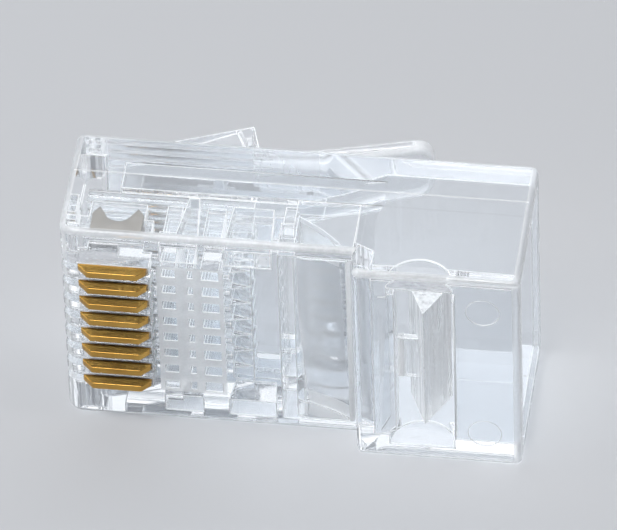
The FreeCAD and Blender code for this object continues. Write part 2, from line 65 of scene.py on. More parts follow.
MERGE_DISTANCE = 0.0005 * MM
BOUNCES = 36
LOG = logging.getLogger("plug")
Colour = tuple[float, float, float]


# Named choices
class Ray(Enum):
    """Kinds of light path that a shader can ask for."""

    SHADOW = "Is Shadow Ray"


class Slot(Enum):
    """Material slots of the record."""

    CLEAR = "clear_polycarbonate"
    GOLD = "gold_plate"


class Skin(Enum):
    """Face attributes: how matt the mould left a surface, and which faces are edge roundings that get a
    painted highlight.
    """

    MATT = "matt"
    EDGE = "edge"


# Node graphs and shader maths
class Graph:
    """A node tree under construction, with one method that makes any node."""

    def __init__(self, tree: bpy.types.NodeTree) -> None:
        """Starts on an emptied tree.

        Args:
            tree: The node tree of a material, a world or a geometry group.
        """
        self.tree = tree
        self.tree.nodes.clear()

    def node(
        self,
        kind: str,
        settings: dict[str, Any] | None = None,
        values: dict[Any, Any] | None = None,
    ) -> bpy.types.Node:
        """Makes a node, sets it up, then fills or links its sockets.

        Args:
            kind: Blender's name of the node type.
            settings: Properties of the node, set before its sockets.
            values: Socket name or number to a plain value, a Signal or an output socket.

        Returns:
            The new node.
        """
        made = self.tree.nodes.new(kind)
        for name, value in (settings or {}).items():
            setattr(made, name, value)
        for name, value in (values or {}).items():
            socket = made.inputs[name]
            if isinstance(value, Signal):
                self.tree.links.new(value.socket, socket)
            elif isinstance(value, bpy.types.NodeSocket):
                self.tree.links.new(value, socket)
            else:
                socket.default_value = value
        return made

    def signal(
        self,
        kind: str,
        output: Any,
        settings: dict[str, Any] | None = None,
        values: dict[Any, Any] | None = None,
    ) -> "Signal":
        """Makes a node and takes one of its outputs.

        Args:
            kind: Blender's name of the node type.
            output: Name or number of the output.
            settings: Properties of the node.
            values: Values or links of its inputs.

        Returns:
            The output as a Signal.
        """
        return Signal(self, self.node(kind, settings, values).outputs[output])

    def path(self, ray: Ray) -> "Signal":
        """The Signal that is 1 on a kind of ray and 0 elsewhere."""
        return self.signal("ShaderNodeLightPath", ray.value)

    def attribute(self, skin: Skin) -> "Signal":
        """The value that the mesh carries for a kind of surface."""
        return self.signal("ShaderNodeAttribute", "Fac", {"attribute_name": skin.value})

    def mix_colour(self, share: Any, low: Any, high: Any) -> "Signal":
        """Mixes two colours.

        Args:
            share: 0 for the low colour, 1 for the high one.
            low: Colour at 0, or a Signal.
            high: Colour at 1, or a Signal.

        Returns:
            The mixed colour.
        """
        ends = [c if isinstance(c, Signal) else (*c, 1.0) for c in (low, high)]
        settings = {"data_type": "RGBA", "clamp_factor": True}
        return self.signal("ShaderNodeMix", 2, settings, {0: share, 6: ends[0], 7: ends[1]})

    def mix_shader(self, share: Any, low: bpy.types.Node, high: bpy.types.Node) -> bpy.types.Node:
        """Mixes two shaders.

        Args:
            share: 0 for the low shader, 1 for the high one.
            low: Shader node at 0.
            high: Shader node at 1.

        Returns:
            The Mix Shader node.
        """
        values = {0: share, 1: low.outputs[0], 2: high.outputs[0]}
        return self.node("ShaderNodeMixShader", {}, values)

    def bump(self, height: "Signal", distance: float, strength: float) -> "Signal":
        """Turns a height into a normal.

        Args:
            height: Height, about 0 to 1.
            distance: Real height of 1, in metres.
            strength: Share of the effect.

        Returns:
            The normal.
        """
        values = {"Strength": strength, "Distance": distance, "Height": height}
        return self.signal("ShaderNodeBump", 0, {}, values)

    def noise(self, scale: float, stretch: Sequence[float] = (1, 1, 1), detail: float = 2.0) -> "Signal":
        """Noise over the object's own coordinates.

        Args:
            scale: Cycles per metre.
            stretch: Factors on the three coordinates.
            detail: Octaves of finer noise.

        Returns:
            The noise, about 0 to 1.
        """
        coords = self.node("ShaderNodeTexCoord").outputs["Object"]
        place = self.signal("ShaderNodeMapping", 0, {}, {"Vector": coords, "Scale": stretch})
        values = {"Vector": place, "Scale": scale, "Detail": detail}
        return self.signal("ShaderNodeTexNoise", 0, {}, values)

    def place(self) -> list["Signal"]:
        """Run from the nose, depth from the contact face and height, in metres."""
        coords = self.node("ShaderNodeTexCoord").outputs["Object"]
        parts = self.node("ShaderNodeSeparateXYZ", {}, {0: coords})
        return [Signal(self, end) - low for end, low in zip(parts.outputs, CAD_BOX[0])]

    def finish(self, shader: bpy.types.Node) -> None:
        """Links a shader to the material's surface."""
        self.node("ShaderNodeOutputMaterial", {}, {"Surface": shader.outputs[0]})


class Signal:
    """An output socket whose arithmetic adds Math nodes."""

    def __init__(self, graph: Graph, socket: bpy.types.NodeSocket) -> None:
        """Wraps a socket.

        Args:
            graph: The graph that the socket's node belongs to.
            socket: The output socket.
        """
        self.graph = graph
        self.socket = socket

    def _math(self, operation: str, first: Any, second: Any) -> "Signal":
        """Adds one Math node.

        Args:
            operation: Blender's name of the operation.
            first: First number or Signal.
            second: Second number or Signal.

        Returns:
            The node's result.
        """
        settings = {"operation": operation}
        return self.graph.signal("ShaderNodeMath", 0, settings, {0: first, 1: second})

    def __add__(self, other: Any) -> "Signal":
        """Sum."""
        return self._math("ADD", self, other)

    def __radd__(self, other: Any) -> "Signal":
        """Sum with a number on the left."""
        return self._math("ADD", other, self)

    def __sub__(self, other: Any) -> "Signal":
        """Difference."""
        return self._math("SUBTRACT", self, other)

    def __rsub__(self, other: Any) -> "Signal":
        """Difference with a number on the left."""
        return self._math("SUBTRACT", other, self)

    def __mul__(self, other: Any) -> "Signal":
        """Product."""
        return self._math("MULTIPLY", self, other)

    def __rmul__(self, other: Any) -> "Signal":
        """Product with a number on the left."""
        return self._math("MULTIPLY", other, self)

    def __truediv__(self, other: Any) -> "Signal":
        """Quotient."""
        return self._math("DIVIDE", self, other)

    def __rtruediv__(self, other: Any) -> "Signal":
        """Quotient with a number on the left."""
        return self._math("DIVIDE", other, self)

    def __gt__(self, other: Any) -> "Signal":
        """1 where the Signal is greater, else 0."""
        return self._math("GREATER_THAN", self, other)

    def __lt__(self, other: Any) -> "Signal":
        """1 where the Signal is less, else 0."""
        return self._math("LESS_THAN", self, other)

    def within(self, low: float, high: float) -> "Signal":
        """1 between two numbers, else 0."""
        return (self > low) * (self < high)

    def capped(self) -> "Signal":
        """The Signal held between 0 and 1."""
        return self.graph.signal("ShaderNodeClamp", 0, {}, {0: self, 1: 0.0, 2: 1.0})


def new_graph(name: str) -> tuple[bpy.types.Material, Graph]:
    """Makes an empty node material.

    Args:
        name: The material's name.

    Returns:
        The material and the graph of its nodes.
    """
    material = bpy.data.materials.new(name)
    material.use_nodes = True
    return material, Graph(material.node_tree)


# Finishes
@dataclass(frozen=True)
class ClearPlastic:
    """Clear polycarbonate: polished outside, matt where fine core pins shaped it; the white haze on its
    edge roundings is a painted highlight.
    """

    name: str
    tint: Colour = (0.935, 0.952, 0.968)
    deep_tint: Colour = (0.900, 0.920, 0.942)
    index: float = 1.586
    roughness: float = 0.012
    grain_roughness: float = 0.02
    matt_roughness: float = 0.22
    edge_roughness: float = 0.08
    # White haze shader: real frosting on matt faces, painted highlight on edge roundings and clamp bars
    haze_and_glow_colour: Colour = (0.93, 0.945, 0.96)
    haze_and_glow_roughness: float = 0.45
    matt_haze: float = 0.46
    edge_painted_glow: float = 0.42
    cloud_base: float = 0.85
    cloud_spread: float = 0.3
    flow_scale: float = 170.0
    flow_stretch: Sequence[float] = (0.5, 1.0, 1.0)
    grain_scale: float = 9000.0
    grain_detail: float = 3.0
    streak_scale: float = 3600.0
    streak_stretch: Sequence[float] = (1.0, 1.0, 0.04)
    streak_gain: float = 2.4
    streak_drop: float = 0.2
    wave_height: float = 0.010 * MM
    wave_strength: float = 0.35
    film: Colour = (0.965, 0.974, 0.982)
    shadow_share: float = 0.96
    comb_run: Sequence[float] = (4.50 * MM, 7.62 * MM)
    comb_depth: Sequence[float] = (1.30 * MM, 1.45 * MM)
    comb_height: Sequence[float] = (1.85 * MM, 9.85 * MM)
    hollow_run: Sequence[float] = (10.8 * MM, 13.6 * MM)
    hollow_depth: Sequence[float] = (1.78 * MM, 4.0 * MM)
    hollow_ends: Sequence[float] = (1.5 * MM, 10.18 * MM)
    hollow_end_painted_glow: float = 1.4
    seam_depth: Sequence[float] = (5.44 * MM, 5.54 * MM)
    seam_skin: float = 0.02 * MM
    seam_haze: float = 0.5
    seam_height: float = 0.03 * MM

    def matt_share(self, graph: Graph, place: Sequence[Signal]) -> Signal:
        """How matt a surface is: the mesh's own share, streaked, and the face of the comb.

        Args:
            graph: The material's graph.
            place: Run, depth and height.

        Returns:
            0 for polished, 1 for fully matt.
        """
        run, depth, height = place
        streaks = graph.noise(self.streak_scale, self.streak_stretch, 1.0)
        streaks = streaks * self.streak_gain - self.streak_drop
        comb = run.within(*self.comb_run) * depth.within(*self.comb_depth)
        comb = comb * height.within(*self.comb_height)
        return (graph.attribute(Skin.MATT) * streaks + comb).capped()

    def seam(self, depth: Signal, height: Signal) -> Signal:
        """The parting line along the outside of both side walls.

        Args:
            depth: Depth from the contact face.
            height: Height above the lower side wall's outside.

        Returns:
            1 on the line, else 0.
        """
        top = CAD_BOX[1][2] - CAD_BOX[0][2] - self.seam_skin
        outside = (height < self.seam_skin) + (height > top)
        return depth.within(*self.seam_depth) * outside

    def hollow_end(self, place: Sequence[Signal]) -> Signal:
        """The stretches near both ends of the conductor clamp's hollow.

        Args:
            place: Run, depth and height.

        Returns:
            1 there, else 0.
        """
        run, depth, height = place
        ends = (height < self.hollow_ends[0]) + (height > self.hollow_ends[1])
        return ends * run.within(*self.hollow_run) * depth.within(*self.hollow_depth)

    def material(self) -> bpy.types.Material:
        """Builds the material.

        Returns:
            The finished material.
        """
        material, graph = new_graph(self.name)
        place = graph.place()
        flow = graph.noise(self.flow_scale, self.flow_stretch, 1.0)
        grain = graph.noise(self.grain_scale, detail=self.grain_detail)
        matt = self.matt_share(graph, place)
        edge = graph.attribute(Skin.EDGE)
        seam = self.seam(place[1], place[2])
        polish = grain * self.grain_roughness + self.roughness
        relief = flow + seam * (self.seam_height / self.wave_height)
        clear = graph.node(
            "ShaderNodeBsdfPrincipled",
            {},
            {
                "Base Color": graph.mix_colour(flow, self.tint, self.deep_tint),
                "Roughness": (matt * self.matt_roughness + edge * self.edge_roughness + polish).capped(),
                "IOR": self.index,
                "Transmission Weight": 1.0,
                "Normal": graph.bump(relief, self.wave_height, self.wave_strength),
            },
        )
        haze_and_glow = graph.node(
            "ShaderNodeBsdfPrincipled",
            {},
            {
                "Base Color": (*self.haze_and_glow_colour, 1.0),
                "Roughness": self.haze_and_glow_roughness,
                "IOR": self.index,
            },
        )
        # On edge roundings, at the hollow's ends and on the clamp bars the white haze is a painted
        # highlight for light piped through the walls
        edge_share = self.hollow_end(place) * self.hollow_end_painted_glow + self.edge_painted_glow
        share = matt * self.matt_haze + edge * edge_share + seam * self.seam_haze
        cloud = grain * self.cloud_spread + self.cloud_base
        surface = graph.mix_shader((share * cloud).capped(), clear, haze_and_glow)
        film = graph.node("ShaderNodeBsdfTransparent", {}, {"Color": (*self.film, 1.0)})
        graph.finish(graph.mix_shader(graph.path(Ray.SHADOW) * self.shadow_share, surface, film))
        return material


@dataclass(frozen=True)
class EdgeGlint:
    """Whitish material of fine edge beads: a painted highlight for the bright line that a moulded edge's
    small radius catches.
    """

    name: str
    colour: Colour = (0.96, 0.97, 0.98)
    index: float = 1.586
    roughness: float = 0.22
    grain_roughness: float = 0.2
    grain_scale: float = 2600.0
    clearness: float = 0.35
    shadow_share: float = 0.95

    def material(self) -> bpy.types.Material:
        """Builds the material.

        Returns:
            The finished material.
        """
        material, graph = new_graph(self.name)
        grain = graph.noise(self.grain_scale)
        glint = graph.node(
            "ShaderNodeBsdfPrincipled",
            {},
            {
                "Base Color": (*self.colour, 1.0),
                "Roughness": (grain * self.grain_roughness + self.roughness).capped(),
                "IOR": self.index,
                "Transmission Weight": self.clearness,
            },
        )
        film = graph.node("ShaderNodeBsdfTransparent", {}, {"Color": (1.0, 1.0, 1.0, 1.0)})
        graph.finish(graph.mix_shader(graph.path(Ray.SHADOW) * self.shadow_share, glint, film))
        return material


@dataclass(frozen=True)
class GoldPlate:
    """A stamped copper alloy blade: gold plated at its contact edge, darker nickel below."""

    name: str
    bright: Colour = (0.90, 0.57, 0.15)
    deep: Colour = (0.24, 0.10, 0.018)
    nickel: Colour = (0.36, 0.33, 0.29)
    plated_depth: float = 1.75 * MM
    fade: float = 0.5 * MM
    roughness: float = 0.14
    line_roughness: float = 0.16
    bare_roughness: float = 0.12
    patch_scale: float = 900.0
    patch_share: float = 0.6
    patch_mean: float = 0.5
    line_scale: float = 260.0
    line_share: float = 0.4
    line_stretch: Sequence[float] = (1.0, 60.0, 60.0)
    line_height: float = 0.004 * MM
    line_strength: float = 0.5

    def material(self) -> bpy.types.Material:
        """Builds the material.

        Returns:
            The finished material.
        """
        material, graph = new_graph(self.name)
        patches = graph.noise(self.patch_scale)
        lines = graph.noise(self.line_scale, self.line_stretch)
        tone = (patches * self.patch_share + lines * self.line_share).capped()
        gold = graph.mix_colour(tone, self.deep, self.bright)
        depth = graph.place()[1]
        bare = ((depth - self.plated_depth) / self.fade + patches - self.patch_mean).capped()
        polish = lines * self.line_roughness + self.roughness
        metal = graph.node(
            "ShaderNodeBsdfPrincipled",
            {},
            {
                "Base Color": graph.mix_colour(bare, gold, self.nickel),
                "Roughness": (bare * self.bare_roughness + polish).capped(),
                "Metallic": 1.0,
                "Normal": graph.bump(lines, self.line_height, self.line_strength),
            },
        )
        graph.finish(metal)
        return material


@dataclass(frozen=True)
class PaleFloor:
    """Plain matt pale floor."""

    name: str
    colour: Colour = (0.60, 0.61, 0.63)
    roughness: float = 0.9

    def material(self) -> bpy.types.Material:
        """Builds the material.

        Returns:
            The finished material.
        """
        material, graph = new_graph(self.name)
        values = {"Base Color": (*self.colour, 1.0), "Roughness": self.roughness}
        graph.finish(graph.node("ShaderNodeBsdfPrincipled", {}, values))
        return material


# Geometry Nodes trees
class Growth:
    """A Geometry Nodes tree whose result becomes a mesh of its own."""

    def __init__(self, name: str) -> None:
        """Starts a tree with a geometry input and output.

        Args:
            name: Name of the tree.
        """
        self.tree = bpy.data.node_groups.new(name, "GeometryNodeTree")
        self.graph = Graph(self.tree)
        self.sockets: dict[str, str] = {}
        self.socket("Geometry", "NodeSocketGeometry")
        self.tree.interface.new_socket("Geometry", in_out="OUTPUT", socket_type="NodeSocketGeometry")

    def socket(self, name: str, kind: str) -> None:
        """Adds a named input of a socket type."""
        made = self.tree.interface.new_socket(name, in_out="INPUT", socket_type=kind)
        self.sockets[name] = made.identifier

    def inputs(self, numbers: Sequence[str], counts: Sequence[str]) -> bpy.types.Node:
        """Adds the named inputs and the node that gives them.

        Args:
            numbers: Names of the float inputs.
            counts: Names of the whole-number inputs.

        Returns:
            The group input node, with a Material input too.
        """
        for name in numbers:
            self.socket(name, "NodeSocketFloat")
        for name in counts:
            self.socket(name, "NodeSocketInt")
        self.socket("Material", "NodeSocketMaterial")
        return self.graph.node("NodeGroupInput")

    def finish(self, geometry: Any, material: Any) -> None:
        """Ends the tree: realized, smooth, with its material.

        Args:
            geometry: Output socket of the geometry.
            material: Output socket of the material.
        """
        real = self.graph.node("GeometryNodeRealizeInstances", {}, {0: geometry})
        smooth = self.graph.node("GeometryNodeSetShadeSmooth", {}, {0: real.outputs[0]})
        values = {"Geometry": smooth.outputs[0], "Material": material}
        dressed = self.graph.node("GeometryNodeSetMaterial", {}, values)
        self.graph.node("NodeGroupOutput", {}, {0: dressed.outputs[0]})

    def grow(self, host: bpy.types.Object, name: str, values: dict[str, Any]) -> bpy.types.Object:
        """Runs the tree on a host and keeps the result as a new object.

        Args:
            host: The object that the tree starts from.
            name: Name of the new object.
            values: Value of each named input.

        Returns:
            The new object, at the origin, with no modifier.
        """
        modifier = host.modifiers.new(self.tree.name, "NODES")
        modifier.node_group = self.tree
        for label, value in values.items():
            modifier[self.sockets[label]] = value
        graph = bpy.context.evaluated_depsgraph_get()
        mesh = bpy.data.meshes.new_from_object(host.evaluated_get(graph), depsgraph=graph)
        host.modifiers.remove(modifier)
        made = bpy.data.objects.new(name, mesh)
        bpy.context.scene.collection.objects.link(made)
        return made


def edge_line_tree() -> Growth:
    """Tree that runs a fine bead just under each sharp edge of a mesh, to carry a painted edge
    highlight.

    Returns:
        The tree, with inputs Least Turn, Least Length, Inset, Radius, Sides and Material.
    """
    growth = Growth("edge_lines")
    graph = growth.graph
    given = growth.inputs(("Least Turn", "Least Length", "Inset", "Radius"), ("Sides",)).outputs
    turn = graph.signal("GeometryNodeInputMeshEdgeAngle", 0)
    ends = graph.node("GeometryNodeInputMeshEdgeVertices").outputs
    span = graph.signal(
        "ShaderNodeVectorMath",
        "Value",
        {"operation": "DISTANCE"},
        {0: ends["Position 1"], 1: ends["Position 2"]},
    )
    wanted = (turn > given["Least Turn"]) * (span > given["Least Length"])
    kept = graph.node("GeometryNodeCaptureAttribute", {"domain": "EDGE"})
    kept.capture_items.new("FLOAT", "wanted")
    graph.tree.links.new(given["Geometry"], kept.inputs[0])
    graph.tree.links.new(wanted.socket, kept.inputs[1])
    normal = graph.node("GeometryNodeInputNormal").outputs[0]
    inset = Signal(graph, given["Inset"]) * -1.0
    offset = graph.signal(
        "ShaderNodeVectorMath", "Vector", {"operation": "SCALE"}, {0: normal, "Scale": inset}
    )
    sunk = graph.node("GeometryNodeSetPosition", {}, {0: kept.outputs[0], "Offset": offset})
    paths = graph.node(
        "GeometryNodeMeshToCurve", {}, {"Mesh": sunk.outputs[0], "Selection": kept.outputs[1]}
    )
    ring = graph.node(
        "GeometryNodeCurvePrimitiveCircle",
        {"mode": "RADIUS"},
        {"Resolution": given["Sides"], "Radius": given["Radius"]},
    )
    values = {"Curve": paths.outputs[0], "Profile Curve": ring.outputs[0], "Fill Caps": True}
    beads = graph.node("GeometryNodeCurveToMesh", {}, values)
    growth.finish(beads.outputs[0], given["Material"])
    return growth


def pin_rim_tree() -> Growth:
    """Tree that sets the thin rim of an ejector pin's mark on each point of a mesh.

    Returns:
        The tree, with inputs Rim Radius, Bead Radius, Variation, Steps, Sides, Seed and Material.
    """
    growth = Growth("pin_rims")
    graph = growth.graph
    numbers = ("Rim Radius", "Bead Radius", "Variation")
    given = growth.inputs(numbers, ("Steps", "Sides", "Seed")).outputs
    path = graph.node(
        "GeometryNodeCurvePrimitiveCircle",
        {"mode": "RADIUS"},
        {"Resolution": given["Steps"], "Radius": given["Rim Radius"]},
    )
    bead = graph.node(
        "GeometryNodeCurvePrimitiveCircle",
        {"mode": "RADIUS"},
        {"Resolution": given["Sides"], "Radius": given["Bead Radius"]},
    )
    values = {"Curve": path.outputs[0], "Profile Curve": bead.outputs[0]}
    rim = graph.node("GeometryNodeCurveToMesh", {}, values)
    spread = Signal(graph, given["Variation"])
    size = graph.node(
        "FunctionNodeRandomValue",
        {"data_type": "FLOAT"},
        {2: 1.0 - spread, 3: 1.0, "Seed": given["Seed"]},
    )
    points = graph.node("GeometryNodeMeshToPoints", {}, {"Mesh": given["Geometry"]})
    rims = graph.node(
        "GeometryNodeInstanceOnPoints",
        {},
        {
            "Points": points.outputs[0],
            "Instance": rim.outputs[0],
            "Rotation": (math.pi / 2, 0.0, 0.0),
            "Scale": size.outputs[1],
        },
    )
    growth.finish(rims.outputs[0], given["Material"])
    return growth


# Meshes made from the CAD nodes
def node_body(node: str) -> str:
    """Name of the body that holds a CAD node."""
    bodies = frame["record"]["behaviour"]["bodies"]
    return next(body for body, nodes in bodies.items() if node in nodes)


def merged_copy(node: str) -> bmesh.types.BMesh:
    """A joined-up copy of a CAD node's mesh.

    Args:
        node: Name of the CAD node.

    Returns:
        The copy, with doubles merged and its faces turned outwards.
    """
    source = frame["nodes"][node]
    mesh = bmesh.new()
    mesh.from_mesh(source.data)
    mesh.transform(source.matrix_world)
    bmesh.ops.remove_doubles(mesh, verts=mesh.verts, dist=MERGE_DISTANCE)
    bmesh.ops.recalc_face_normals(mesh, faces=mesh.faces)
    return mesh


def shade_by_turn(mesh: bmesh.types.BMesh, least: float, most: float) -> None:
    """Smooths the faces of rounded stretches and leaves flat faces flat.

    Args:
        mesh: The mesh to shade.
        least: Smallest turn between two faces of a rounded stretch, in radians.
        most: Largest such turn; a sharper edge is kept sharp.
    """
    for face in mesh.faces:
        face.smooth = False
    for edge in mesh.edges:
        turn = edge.calc_face_angle(0.0)
        edge.smooth = turn < most
        if least < turn < most:
            for face in edge.link_faces:
                face.smooth = True


def flat_stretch(start: bmesh.types.BMFace, most: float) -> set[bmesh.types.BMFace]:
    """The flat stretch of faces that a face belongs to.

    Args:
        start: The face.
        most: Largest turn between two faces of one stretch, in radians.

    Returns:
        The faces of the stretch.
    """
    stretch = {start}
    front = [start]
    while front:
        flat_edges = [edge for edge in front.pop().edges if edge.calc_face_angle(math.pi) < most]
        found = {face for edge in flat_edges for face in edge.link_faces} - stretch
        stretch |= found
        front.extend(found)
    return stretch


def narrow_faces(mesh: bmesh.types.BMesh, most_turn: float, most_area: float) -> set[int]:
    """Numbers of the rounded faces that belong to a narrow rounding, not to a broad face.

    Args:
        mesh: The mesh, shaded by turn.
        most_turn: Largest turn within a flat stretch, in radians.
        most_area: Largest area of a rounding's flat facet, in square metres.

    Returns:
        The face numbers.
    """
    mesh.faces.index_update()
    narrow: set[int] = set()
    seen: set[bmesh.types.BMFace] = set()
    for face in mesh.faces:
        if face.smooth and face not in seen:
            stretch = flat_stretch(face, most_turn)
            seen |= stretch
            if sum(part.calc_area() for part in stretch) < most_area:
                narrow.update(part.index for part in stretch)
    return narrow


def weigh_normals(piece: bpy.types.Object) -> None:
    """Keeps flat faces flat where they meet a rounding, by normals weighed by area."""
    modifier = piece.modifiers.new("flat_faces", "WEIGHTED_NORMAL")
    modifier.keep_sharp = True
    graph = bpy.context.evaluated_depsgraph_get()
    mesh = bpy.data.meshes.new_from_object(piece.evaluated_get(graph), depsgraph=graph)
    piece.modifiers.remove(modifier)
    piece.data = mesh


def as_object(mesh: bmesh.types.BMesh, name: str) -> bpy.types.Object:
    """Turns a finished mesh into an object at the origin.

    Args:
        mesh: The mesh, which is freed.
        name: Name of the object and of its mesh.

    Returns:
        The linked object.
    """
    data = bpy.data.meshes.new(name)
    mesh.to_mesh(data)
    mesh.free()
    made = bpy.data.objects.new(name, data)
    bpy.context.scene.collection.objects.link(made)
    return made


# Pieces of the plug
@dataclass(frozen=True)
class MouldPlan:
    """Where the mould is polished and where it is matt, in the housing's own measures."""

    step: float = 1.4 * MM
    depth: float = 8.0 * MM
    nose_run: float = 13.65 * MM
    ways_run: float = 10.2 * MM
    ways_depth: float = 5.6 * MM
    window_front: float = 14.9 * MM
    window_back: float = 18.5 * MM
    wall: float = 1.12 * MM
    near: float = 0.02 * MM
    fillet: float = 0.34 * MM
    window_matt: float = 0.22
    bore_matt: float = 0.2
    flat_matt: float = 0.08

    def place(self, point: Vector) -> Vector:
        """A point as run from the nose, depth from the contact face and height."""
        return point - Vector(CAD_BOX[0])

    def gaps(self, place: Vector) -> list[float]:
        """Distances to the housing's outer planes, the least first."""
        size = Vector(CAD_BOX[1]) - Vector(CAD_BOX[0])
        face_depth = self.step if place.x < self.nose_run else 0.0
        return sorted(
            (
                place.z,
                size.z - place.z,
                place.x,
                size.x - place.x,
                abs(place.y - face_depth),
                abs(place.y - self.depth),
            )
        )

    def edge(self, face: bmesh.types.BMFace) -> float:
        """1 on the rounding between two outer planes, where a painted highlight goes, else 0."""
        gaps = self.gaps(self.place(face.calc_center_median()))
        return 1.0 if face.smooth and gaps[1] < self.fillet else 0.0

    def matt(self, face: bmesh.types.BMFace) -> float:
        """How matt a face is.

        Args:
            face: A face of the housing.

        Returns:
            0 for polished, 1 for fully matt.
        """
        place = self.place(face.calc_center_median())
        if self.gaps(place)[0] < self.near:
            return 0.0
        if place.x < self.ways_run and self.step < place.y < self.ways_depth:
            return self.bore_matt if face.smooth else self.flat_matt
        if self.window_front < place.x < self.window_back and place.y < self.wall:
            return self.window_matt
        return 0.0


@dataclass
class CadPiece:
    """A visible piece that follows one CAD node, with its own finish on each kind of face."""

    node: str
    material: bpy.types.Material
    slot: Slot
    plan: MouldPlan | None = None
    matt: float = 0.0
    # Share of white haze on smooth faces: a painted sheen
    broad_painted_sheen: float = 0.0
    facet_area: float = 0.7 * MM**2
    edge_width: float = 0.0
    edge_steps: int = 3
    edge_roundness: float = 0.5
    least_turn: float = math.radians(35)
    flat_below: float = math.radians(0.5)
    smooth_below: float = math.radians(32)
    piece: bpy.types.Object | None = field(default=None, init=False)

    def build(self) -> None:
        """Makes the mesh from the CAD node, with rounded edges where it has a width."""
        mesh = merged_copy(self.node)
        if self.edge_width > 0:
            self.round_edges(mesh)
        shade_by_turn(mesh, self.flat_below, self.smooth_below)
        self.mark_faces(mesh)
        self.piece = as_object(mesh, f"{self.node}_surface")
        weigh_normals(self.piece)

    def mark_faces(self, mesh: bmesh.types.BMesh) -> None:
        """Writes on each face how matt it is, and how far it is an edge's rounding that gets a painted
        highlight.

        Args:
            mesh: The shaded mesh.
        """
        matt_layer = mesh.faces.layers.float.new(Skin.MATT.value)
        edge_layer = mesh.faces.layers.float.new(Skin.EDGE.value)
        narrow = set() if self.plan else narrow_faces(mesh, self.flat_below, self.facet_area)
        for face in mesh.faces:
            if self.plan:
                face[matt_layer] = self.plan.matt(face)
                face[edge_layer] = self.plan.edge(face)
            else:
                face[matt_layer] = self.matt
                face[edge_layer] = 1.0 if face.index in narrow else self.broad_painted_sheen * face.smooth

    def round_edges(self, mesh: bmesh.types.BMesh) -> None:
        """Rounds the sharp edges of a piece with few faces.

        Args:
            mesh: The piece's mesh.
        """
        sharp = [edge for edge in mesh.edges if edge.calc_face_angle(0.0) > self.least_turn]
        bmesh.ops.bevel(
            mesh,
            geom=sharp,
            offset=self.edge_width,
            offset_type="OFFSET",
            segments=self.edge_steps,
            profile=self.edge_roundness,
            affect="EDGES",
        )

    def dress(self) -> None:
        """Gives the piece its finish and its body, and hides the CAD node that it stands for."""
        self.piece.data.materials.append(self.material)
        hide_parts(self.node)
        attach(self.piece, node_body(self.node))
        LOG.info("%s: %d faces", self.piece.name, len(self.piece.data.polygons))


@dataclass
class Moulding:
    """The clear housing with its lever and its two clamps."""

    finish: ClearPlastic
    glint: EdgeGlint
    nodes: Sequence[str] = ("housing", "latch_lever", "conductor_clamp_bar", "cable_clamp_bar")
    planned: str = "housing"
    # The cable clamp bar's matt share and both bars' broad share paint a whitish sheen on their rounded
    # faces
    matt: dict[str, float] = field(default_factory=lambda: {"cable_clamp_bar": 0.85})
    broad_painted_sheen: dict[str, float] = field(
        default_factory=lambda: {"conductor_clamp_bar": 0.4, "cable_clamp_bar": 1.0}
    )
    line_turn: float = math.radians(38)
    line_length: float = 0.12 * MM
    line_inset: float = 0.054 * MM
    line_radius: float = 0.027 * MM
    line_sides: int = 6
    pieces: list[CadPiece] = field(default_factory=list, init=False)
    lines: dict[str, bpy.types.Object] = field(default_factory=dict, init=False)

    def build(self) -> None:
        """Makes the mesh of each moulded piece and the fine bead lines at its edges, which carry a
        painted highlight.
        """
        material = self.finish.material()
        glint = self.glint.material()
        tree = edge_line_tree()
        values = {
            "Least Turn": self.line_turn,
            "Least Length": self.line_length,
            "Inset": self.line_inset,
            "Radius": self.line_radius,
            "Sides": self.line_sides,
            "Material": glint,
        }
        for node in self.nodes:
            piece = CadPiece(
                node,
                material,
                Slot.CLEAR,
                plan=MouldPlan() if node == self.planned else None,
                matt=self.matt.get(node, 0.0),
                broad_painted_sheen=self.broad_painted_sheen.get(node, 0.0),
            )
            piece.build()
            self.pieces.append(piece)
            self.lines[node] = tree.grow(piece.piece, f"{node}_edge_lines", values)

    def dress(self) -> None:
        """Dresses each moulded piece and its edge lines."""
        for piece in self.pieces:
            piece.dress()
        for node, lines in self.lines.items():
            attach(lines, node_body(node))
            LOG.info("%s: %d faces", lines.name, len(lines.data.polygons))


@dataclass
class PinMarks:
    """Thin rims round the two ejector marks near the rear of the contact face, real rims whitened with
    the glint material as a painted highlight.
    """

    finish: EdgeGlint
    body: str = "housing"
    setback: float = 1.7 * MM
    inset: float = 1.98 * MM
    depth: float = 0.022 * MM
    rim_radius: float = 0.78 * MM
    bead_radius: float = 0.016 * MM
    variation: float = 0.015
    steps: int = 48
    sides: int = 8
    seed: int = 7
    rims: bpy.types.Object | None = field(default=None, init=False)

    def build(self) -> None:
        """Sets a rim on each mark."""
        low, high = (Vector(corner) for corner in CAD_BOX)
        mesh = bmesh.new()
        for height in (low.z + self.inset, high.z - self.inset):
            mesh.verts.new((high.x - self.setback, low.y + self.depth, height))
        host = as_object(mesh, "pin_mark_points")
        values = {
            "Rim Radius": self.rim_radius,
            "Bead Radius": self.bead_radius,
            "Variation": self.variation,
            "Steps": self.steps,
            "Sides": self.sides,
            "Seed": self.seed,
            "Material": self.finish.material(),
        }
        self.rims = pin_rim_tree().grow(host, "pin_mark_rims", values)
        bpy.data.objects.remove(host)

    def dress(self) -> None:
        """Lets the rims move with the housing."""
        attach(self.rims, self.body)
        LOG.info("%s: %d faces", self.rims.name, len(self.rims.data.polygons))


@dataclass
class ContactRow:
    """The eight stamped contacts."""

    finish: GoldPlate
    count: int = 8
    edge_width: float = 0.045 * MM
    pieces: list[CadPiece] = field(default_factory=list, init=False)

    def build(self) -> None:
        """Makes the mesh of each contact."""
        material = self.finish.material()
        for way in range(1, self.count + 1):
            piece = CadPiece(f"contact_{way}", material, Slot.GOLD, edge_width=self.edge_width)
            piece.build()
            self.pieces.append(piece)

    def dress(self) -> None:
        """Dresses each contact."""
        for piece in self.pieces:
            piece.dress()


